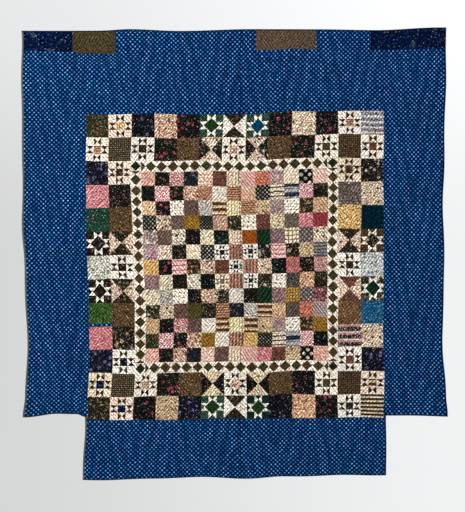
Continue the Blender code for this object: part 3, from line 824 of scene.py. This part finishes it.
def strip_piece(node, upright, diamonds, stub):
    """A strip of diamonds, 16 cells across. stub is the half diamond's length at each end. The level
    strips have a corner square at each end too."""
    corners = not upright
    x0, x1, z0, z1 = span_of(node)
    long0, long1, wide0, wide1 = (z1, z0, x0, x1) if upright else (x0, x1, z1, z0)
    corner = abs(wide1 - wide0) * math.copysign(1, long1 - long0) if corners else 0.0
    stub = math.copysign(stub, long1 - long0)
    lead = 16 if corners else 0
    a, b = long0 + corner, long1 - corner
    stops = (long0, a, a + stub, b - stub, b, long1)
    shares = (lead, 8, diamonds * 16, 8, lead)
    runs = [np.linspace(p, q, n + 1)[1:] for p, q, n in zip(stops, stops[1:], shares)]
    along, across = np.concatenate([[long0], *runs]), np.linspace(wide0, wide1, 17)
    count = len(along) - 1

    def at_corner(k):
        return (k < lead) | (k > count - lead)

    def from_middle(k):
        """How far along a place is from its diamond's or corner square's middle, in cells."""
        inside = (k > lead + 8) & (k < count - lead - 8)
        on_stub = np.where(k < count / 2, k - lead, k - (count - lead))
        in_square = np.where(k < count / 2, k, k - (count - lead)) - 8
        return np.where(at_corner(k), in_square, np.where(inside, (k - lead - 8) % 16 - 8, on_stub))

    local, w = from_middle(np.arange(count) + 0.5), np.arange(16) + 0.5 - 8
    product = local[:, None] * w[None, :] if upright else local[None, :] * w[:, None]
    xs, zs = (across, along) if upright else (along, across)
    obj, middle = grid(f"{node}_cloth", xs, zs, face_place((x0, x1), (z0, z1)), product < 0)
    s, t = (middle[:, 1], middle[:, 0]) if upright else (middle[:, 0], middle[:, 1])
    diamond = np.abs(from_middle(s)) + np.abs(t - 8) < 8
    number = np.floor((s - lead - 8) / 16)
    brown = np.where(np.sin(number * 2.4 + x0 * 9) > 0.35, INDEX["sash2"], INDEX["sash"])
    brown = np.where(at_corner(s), INDEX["corner"], brown)
    prints = np.where(diamond, brown, INDEX["light"])
    dress(obj, prints.astype(int), number * 1.7 + np.where(diamond, 0.4, 0.0))
    sewn(obj, node)


def medallion_piece(number, words):
    """One row of the medallion, 24 cells to a square."""
    node = f"medallion_row_{number + 1:02d}"
    x0, x1, z0, z1 = span_of(node)
    xs, zs = np.linspace(x0, x1, 13 * 24 + 1), np.linspace(z1, z0, 25)
    seam_xs = np.linspace(x0, x1, 14)
    split = hourglass_split(13 * 24, 24, 8)
    obj, middle = grid(f"{node}_cloth", xs, zs, face_place(seam_xs, (z0, z1)), split)
    u, v = middle[:, 0] / 8, middle[:, 1] / 8
    prints = np.zeros(len(middle), int)
    for c, word in enumerate(words):
        here = (u >= 3 * c) & (u < 3 * c + 3)
        prints[here] = block(word, u[here] - 3 * c, v[here])
    dress(obj, prints, np.floor(u / 3) + number * 13.0 + prints * 0.37)
    sewn(obj, node)


def quilt_top():
    ring = [row.split() for row in RING.strip().splitlines()]
    squares = [row.split() for row in MEDALLION.strip().splitlines()]
    strips = ("border_top_left", "border_top_right", "top_strip_left", "top_strip_right")
    plain_prints = dict.fromkeys((*strips, "border_left", "border_right"), "border")
    plain_prints |= {"inset_navy_left": "navy", "inset_navy_right": "navy"}
    plain_prints |= {"inset_olive": "olive", "inset_brown": "brown", "foot_drop_top": "border"}
    for node, print_name in plain_prints.items():
        plain_piece(node, print_name)
    block_piece("blocks_top", ring, 0, 0, 13, 2)
    block_piece("blocks_bottom", ring, 0, 11, 13, 2)
    block_piece("blocks_left", ring, 0, 2, 2, 9)
    block_piece("blocks_right", ring, 11, 2, 2, 9)
    for end in ("top", "bottom"):
        strip_piece(f"diamond_strip_{end}", False, 16, 0.020)
    for side in ("left", "right"):
        strip_piece(f"diamond_strip_{side}", True, 17, 0.016)
    for number, words in enumerate(squares):
        medallion_piece(number, words)


# ------------------------------------------------------------ wadding, backing and bindings


def back_relief(x, z):
    return BACK + 0.0005 * (2 * puffed(x, z) - 1) - 0.0002


def beside_fold(x, z, z1):
    """Fits a layer that ends at the fold, above or below it, to the inner corners."""
    return up_to_corner(x, z) if z1 == FOLD_Z else clear_of_corner(x, z, z1)


def backing_piece(node):
    x0, x1, z0, z1 = span_of(node)
    xs, zs = lines(x0, x1, BACKING_PITCH), lines(z1, z0, BACKING_PITCH)

    def place(x, z):
        draw = 0.0006 * step(seam_distance(x, z, (x0, x1), ()), 0.004, 0.0)
        z = beside_fold(x, z, z1)
        return draped(x, z, back_relief(x, z) - draw)

    obj, _ = grid(f"{node}_cloth", xs, zs, place, flip=True)
    obj.data.materials.append(MUSLIN)
    sewn(obj, node)


def wadding_piece(node):
    """The wadding: a thin slab that follows the drape, closed all round."""
    x0, x1, z0, z1 = span_of(node)
    bend = np.clip(FOLD_Z + lines(-0.04, 0.04, 0.004), z0, z1)
    notch = np.clip(np.outer((-1, 1), (FIELD_X, FIELD_X + 0.002)).ravel(), x0, x1)
    xs = np.unique(np.concatenate([lines(x0, x1, WADDING_PITCH), notch]))
    zs = np.unique(np.concatenate([lines(z1, z0, WADDING_PITCH), bend]))[::-1]
    near, far = FRONT + WADDING_DEPTH, BACK - 0.0014

    def place(x, z):
        return draped(x, beside_fold(x, z, z1), near)

    obj, _ = grid(f"{node}_layer", xs, zs, place)
    thick = obj.modifiers.new("thickness", "SOLIDIFY")
    thick.thickness = far - near
    thick.offset = -1.0
    obj.data.materials.append(WADDING)
    with_mesh(obj)
    obj.data.uv_layers.remove(obj.data.uv_layers["OFBake"])  # its two faces would share one map
    sewn(obj, node)


def with_mesh(obj):
    """Makes the modifiers' result the object's own mesh."""
    evaluated = obj.evaluated_get(bpy.context.evaluated_depsgraph_get())
    made = bpy.data.meshes.new_from_object(evaluated)
    made.name = obj.data.name
    obj.modifiers.clear()
    obj.data = made


def binding_piece(node, cloth, along, start, end, edge, inward, flap=NARROW_LAP):
    """A strip folded over an edge. along is "x" or "z"; edge is the edge's place across it, and
    inward is +1 or -1, the way to the cloth. flap is how far it laps each face."""
    count = max(8, round(abs(end - start) / 0.008))
    run = np.linspace(start, end, count + 1)
    reach = BACK - FRONT
    middle = (FRONT + BACK) / 2
    turn = np.radians(np.linspace(-90, 90, 9))
    profile = [(flap, FRONT - 0.0002), (flap - 0.0003, FRONT - 0.0014), (flap * 0.55, FRONT - 0.0017)]
    profile += [
        (0.0026 - 0.0028 * math.cos(t), middle + (reach / 2 + 0.0013) * math.sin(t)) for t in turn
    ]
    profile += [(flap * 0.55, BACK + 0.0016), (flap - 0.0003, BACK + 0.0013), (flap, BACK + 0.0001)]
    offsets = np.array([p[0] for p in profile])
    depths = np.array([p[1] for p in profile])
    s, k = (a.ravel() for a in np.meshgrid(run, np.arange(len(profile))))
    across = edge + inward * offsets[k]
    x, z = (s, across) if along == "x" else (across, s)
    pucker = 0.00035 * np.sin(s * 520 + k) * (depths[k] < middle)
    points = draped(x, z, depths[k] - pucker)
    folds = len(profile) - 1
    _, _, a, b, c, d = cells(count, folds)
    corners = np.stack([a, d, c, b], 1)
    obj = mesh_object(f"{node}_cloth", points, corners.ravel(), np.full(len(corners), 4))
    bake_map(obj, (s - s.min()) / np.ptp(s), k / folds)
    point_attribute(obj, "flat", np.stack([x, z, np.full(len(x), 0.5)], 1))
    faces_outward(obj, lambda f: f.calc_center_median().y, lambda normal: normal.y > 0)
    obj.data.materials.append(cloth)
    sewn(obj, node)


def body_of_cloth():
    wadding_piece("batting_main")
    wadding_piece("batting_foot")
    for node in ("backing_left", "backing_centre", "backing_right", "backing_foot"):
        backing_piece(node)
    w, upper, inner = HALF_WIDTH, TOP - END_TUCK, HALF_FOOT - INWARD_LAP
    binding_piece("binding_top", EDGE_DARK, "x", -w, w, TOP, -1)
    binding_piece("binding_left", EDGE_GREY, "z", DROP_LOW, upper, -w, 1, 0.0100)
    binding_piece("binding_right", EDGE_DARK, "z", DROP_LOW, upper, w, -1)
    binding_piece("binding_drop_left", EDGE_DARK, "x", -w + END_TUCK, -inner, DROP_LOW, 1)
    binding_piece("binding_drop_right", EDGE_DARK, "x", inner, w - END_TUCK, DROP_LOW, 1)
    foot = (FOOT_LOW + END_TUCK, DROP_LOW + 0.004)
    binding_piece("binding_foot_left", EDGE_GREY, "z", *foot, -HALF_FOOT, 1, 0.0090)
    binding_piece("binding_foot_right", EDGE_DARK, "z", *foot, HALF_FOOT, -1)
    binding_piece("binding_foot_bottom", EDGE_DARK, "x", -HALF_FOOT, HALF_FOOT, FOOT_LOW, 1)


# ------------------------------------------------------------------- sleeves, pole, rack


SLEEVE_CLOTH = 0.0006
SEWN_ON = 0.0002  # the sleeve's seams from the backing


def sleeve_piece(node):
    """A cotton tube, open at both ends, that sags a little under the pole between its seams."""
    a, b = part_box(node)
    x0, x1 = a[0], b[0]
    front, pole_y = a[1], JOINTS["quilt_swing"]["pos_m"][1]
    pole_z = JOINTS["quilt_swing"]["pos_m"][2]
    radius = b[1] - pole_y
    low_z = a[2]
    arc = np.radians(np.linspace(100, -35, 22))
    outline = [(front + SEWN_ON, pole_z + radius - 0.001), (front + 0.006, pole_z + radius - 0.0002)]
    outline += [(pole_y + radius * math.cos(t), pole_z + radius * math.sin(t)) for t in arc]
    last = outline[-1]
    tail = np.linspace(0, 1, 16)[1:]
    outline += [
        (
            last[0] + (front + 0.0012 - last[0]) * f + 0.004 * math.sin(math.pi * f),
            last[1] + (low_z - last[1]) * f,
        )
        for f in tail
    ]
    outline += [(front + SEWN_ON, low_z + 0.0004)]
    rise = pole_z + radius - 0.001 - low_z
    outline += [(front + SEWN_ON, low_z + rise * f) for f in np.linspace(0.02, 0.98, 12)]
    ring = np.array(outline)
    xs = lines(x0, x1, 0.006)
    x, k = (q.ravel() for q in np.meshgrid(xs, np.arange(len(ring))))
    y, z = ring[k, 0], ring[k, 1]
    below = np.clip((pole_z - 0.006 - z) / 0.03, 0, 1) * np.clip((y - front - 0.001) / 0.01, 0, 1)
    fold = np.sin(x * 61 + 1.7 * np.sin(x * 9)) + 0.6 * np.sin(x * 143 + z * 40)
    y = y + 0.0016 * fold * below
    on_pole = np.clip((y - pole_y - 0.004) / 0.01, 0, 1) * np.clip((z - pole_z + 0.01) / 0.02, 0, 1)
    y = y + 0.0003 * on_pole * np.sin(x * 230)
    corners = np.stack(cells(len(xs) - 1, len(ring), closed=True)[2:], 1)
    points = np.stack([x, y, z], 1)
    obj = mesh_object(f"{node}_cloth", points, corners.ravel(), np.full(len(corners), 4))
    point_attribute(obj, "flat", np.stack([x, z + y, np.full(len(x), 0.5)], 1))
    faces_outward(obj, lambda f: -f.calc_center_median().z, lambda normal: normal.z < 0)
    obj.data.materials.append(SLEEVE_COTTON)
    thick = obj.modifiers.new("thickness", "SOLIDIFY")
    thick.thickness = SLEEVE_CLOTH
    thick.offset = 1.0
    with_mesh(obj)
    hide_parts(node)
    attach(obj, "quilt")


def wood_material():
    n = Nodes("oiled_pine")
    place = n.add("TexCoord").outputs["Object"]
    grain = n.vector("MULTIPLY", place, (3.0, 90.0, 90.0))
    rings = n.noise(grain, 1.4, 4.0, 0.55)
    fibres = n.noise(n.vector("MULTIPLY", place, (30.0, 900.0, 900.0)), 1.0, 2.0)
    base = n.mix(n.soft(rings, 0.35, 0.65), (*colour("c79a62"), 1), (*colour("9a6c3c"), 1))
    base = n.mix(n.soft(fibres, 0.4, 0.8, 0.0, 0.35), base, (*colour("7c5530"), 1))
    rough = n.soft(fibres, 0.2, 0.8, 0.42, 0.6)
    n.shader.inputs["Coat Weight"].default_value = 0.15
    n.shader.inputs["Coat Roughness"].default_value = 0.3
    return n.finish(base, rough, fibres, 0.25, 0.0002)


def metal_material(name, code, other, metallic, rough_low, rough_high, grain):
    n = Nodes(name)
    place = n.add("TexCoord").outputs["Object"]
    mottle = n.noise(place, grain, 4.0, 0.6)
    marks = n.noise(n.vector("MULTIPLY", place, (60.0, 60.0, 800.0)), 2.0, 2.0)
    base = n.mix(n.soft(mottle, 0.35, 0.7), (*colour(code), 1), (*colour(other), 1))
    n.shader.inputs["Metallic"].default_value = metallic
    rough = n.soft(marks, 0.3, 0.7, rough_low, rough_high)
    return n.finish(base, rough, mottle, 0.2, 0.0001)


PINE = wood_material()
STEEL = metal_material("black_painted_steel", "16171a", "222327", 0.0, 0.32, 0.5, 260.0)
ZINC = metal_material("zinc_plate", "b9bab4", "9a9c98", 1.0, 0.25, 0.42, 420.0)


def eased_copy(node, width, material):
    """The CAD solid with its sharp edges rounded over."""
    source = frame["nodes"][node]
    obj = placed(f"{node}_shaped", source.data.copy())
    obj.matrix_world = source.matrix_world.copy()
    obj.data.materials.clear()
    obj.data.materials.append(material)
    with editing(obj.data) as bm:
        bmesh.ops.remove_doubles(bm, verts=bm.verts, dist=0.00002)
        bmesh.ops.dissolve_limit(bm, angle_limit=math.radians(1), verts=bm.verts, edges=bm.edges)
    bevel = obj.modifiers.new("rounded", "BEVEL")
    bevel.width = width
    bevel.segments = 3
    bevel.limit_method = "ANGLE"
    bevel.angle_limit = math.radians(30)
    with_mesh(obj)
    obj.data.shade_smooth()
    obj.data.set_sharp_from_angle(angle=math.radians(35))
    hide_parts(node)
    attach(obj, frame["nodes"][node]["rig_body"])
    return obj


def turned_cap(node, outward):
    """A turned wooden knob: a bead, a cove and a rounded end."""
    a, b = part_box(node)
    inner_x, outer_x = (a[0], b[0]) if outward > 0 else (b[0], a[0])
    radius = (b[2] - a[2]) / 2
    centre = Vector((0, (a[1] + b[1]) / 2, (a[2] + b[2]) / 2))
    span = outer_x - inner_x
    profile = [(0.0, 0.0), (0.0, 0.90), (0.04, 0.96), (0.12, 1.0), (0.22, 0.985), (0.28, 0.93), (0.34, 0.90),
               (0.42, 0.93), (0.52, 0.965), (0.66, 0.96), (0.80, 0.88), (0.91, 0.70), (0.98, 0.40),
               (1.0, 0.0)]
    around = 48
    points, faces = [], []
    for along, out in profile:
        for s in range(around):
            t = 2 * math.pi * s / around
            y, z = centre.y + radius * out * math.cos(t), centre.z + radius * out * math.sin(t)
            points.append((inner_x + span * along, y, z))
    for r in range(len(profile) - 1):
        for s in range(around):
            n = (s + 1) % around
            faces.append((r * around + s, r * around + n, (r + 1) * around + n, (r + 1) * around + s))
    data = bpy.data.meshes.new(f"{node}_turned")
    data.from_pydata(points, [], faces)
    with editing(data) as bm:
        bmesh.ops.remove_doubles(bm, verts=bm.verts, dist=0.00001)
        bmesh.ops.recalc_face_normals(bm, faces=bm.faces)
    data.shade_smooth()
    data.materials.append(PINE)
    obj = placed(f"{node}_turned", data)
    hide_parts(node)
    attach(obj, "pole_assembly")


def slotted_screw(node):
    """The screw with its edges eased and a cross cut into its head."""
    obj = eased_copy(node, 0.0003, ZINC)
    a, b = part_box(node)
    centre = (Vector(a) + Vector(b)) / 2
    bm = bmesh.new()
    for angle in (20, 110):
        made = bmesh.ops.create_cube(bm, size=1.0)
        for v in made["verts"]:
            v.co = Vector((v.co.x * 0.0046, v.co.y * 0.0022, v.co.z * 0.0008))
        turn = math.radians(angle)
        for v in made["verts"]:
            x, z = v.co.x, v.co.z
            v.co.x = x * math.cos(turn) - z * math.sin(turn) + centre.x
            v.co.z = x * math.sin(turn) + z * math.cos(turn) + centre.z
            v.co.y += a[1]
    data = bpy.data.meshes.new(f"{node}_recess")
    bm.to_mesh(data)
    bm.free()
    cutter = placed(f"{node}_recess", data)
    cutting = obj.modifiers.new("recess", "BOOLEAN")
    cutting.operation = "DIFFERENCE"
    cutting.solver = "EXACT"
    cutting.use_self = True
    cutting.object = cutter
    with_mesh(obj)
    bpy.data.objects.remove(cutter, do_unlink=True)


def rack():
    for node in ("sleeve_left", "sleeve_right"):
        sleeve_piece(node)
    pole = frame["nodes"]["pole"]
    for slot in pole.material_slots:
        slot.material = PINE
    turned_cap("pole_cap_left", -1)
    turned_cap("pole_cap_right", 1)
    for side in ("left", "centre", "right"):
        eased_copy(f"bracket_{side}", 0.0007, STEEL)
        for height in ("upper", "lower"):
            slotted_screw(f"screw_{side}_{height}")


# -------------------------------------------------------------------- floor, light, camera


def studio():
    n = Nodes("pale_floor")
    place = n.add("TexCoord").outputs["Object"]
    base = n.mix(n.noise(place, 2.0, 4.0), (0.50, 0.50, 0.50, 1), (0.54, 0.54, 0.54, 1))
    pale = n.finish(base, 0.9)
    data = bpy.data.meshes.new("floor")
    rim = [math.radians(3 * k) for k in range(120)]
    level = FOOT_LOW - FLOOR_DROP
    edge = [(FLOOR_RADIUS * math.cos(t), FLOOR_RADIUS * math.sin(t), level) for t in rim]
    data.from_pydata(edge, [], [range(len(edge))])
    data.materials.append(pale)
    placed("floor", data)

    scene = bpy.context.scene
    world = bpy.data.worlds.new("studio")
    scene.world = world
    world.use_nodes = True
    tree = world.node_tree
    air = tree.nodes["Background"]
    air.inputs["Color"].default_value = (0.985, 0.99, 1.0, 1)
    # The room is bright behind the quilt and dimmer in front of it
    sight = tree.nodes.new("ShaderNodeTexCoord")
    axes = tree.nodes.new("ShaderNodeSeparateXYZ")
    tree.links.new(sight.outputs["Generated"], axes.inputs[0])
    last = None
    ramps = ((1, -0.3, 0.8, DIM, 0.84), (0, -0.22, 0.22, -0.16, 0.06), (2, 0.0, 0.22, 0.0, 0.14))
    for axis, start, end, from_value, to_value in ramps:
        ramp = tree.nodes.new("ShaderNodeMapRange")
        ramp.interpolation_type = "SMOOTHSTEP"
        tree.links.new(axes.outputs[axis], ramp.inputs[0])
        for slot, value in zip((1, 2, 3, 4), (start, end, from_value, to_value)):
            ramp.inputs[slot].default_value = value
        if last is None:
            last = ramp.outputs[0]
            continue
        total = tree.nodes.new("ShaderNodeMath")
        tree.links.new(last, total.inputs[0])
        tree.links.new(ramp.outputs[0], total.inputs[1])
        last = total.outputs[0]
    tree.links.new(last, air.inputs["Strength"])
    for name, place, power, size, tint in (
        ("key", (-4.4, -3.0, 2.4), 400.0, 1.2, (1.0, 0.972, 0.93)),
        ("fill", (3.6, -5.0, 0.2), 95.0, 2.5, (0.96, 0.98, 1.0)),
        ("back", (1.5, 4.6, 1.4), 60.0, 2.5, (1.0, 0.99, 0.97)),
    ):
        light = bpy.data.lights.new(name, "AREA")
        light.energy = power
        light.size = size
        light.color = tint
        lamp = placed(name, light)
        lamp.location = place
        aim = Vector((0, 0, -0.95)) - Vector(place)
        lamp.rotation_euler = aim.to_track_quat("-Z", "Y").to_euler()

    camera = bpy.data.cameras.new("camera")
    camera.lens = 85
    distance = VIEW_WIDTH * camera.lens / camera.sensor_width
    seat = placed("camera", camera)
    seat.location = (CAMERA_X, FRONT - distance, CAMERA_Z)
    seat.rotation_euler = (math.radians(90), 0, 0)
    scene.camera = seat
    scene.view_settings.view_transform = "Standard"


quilt_top()
body_of_cloth()
rack()
studio()
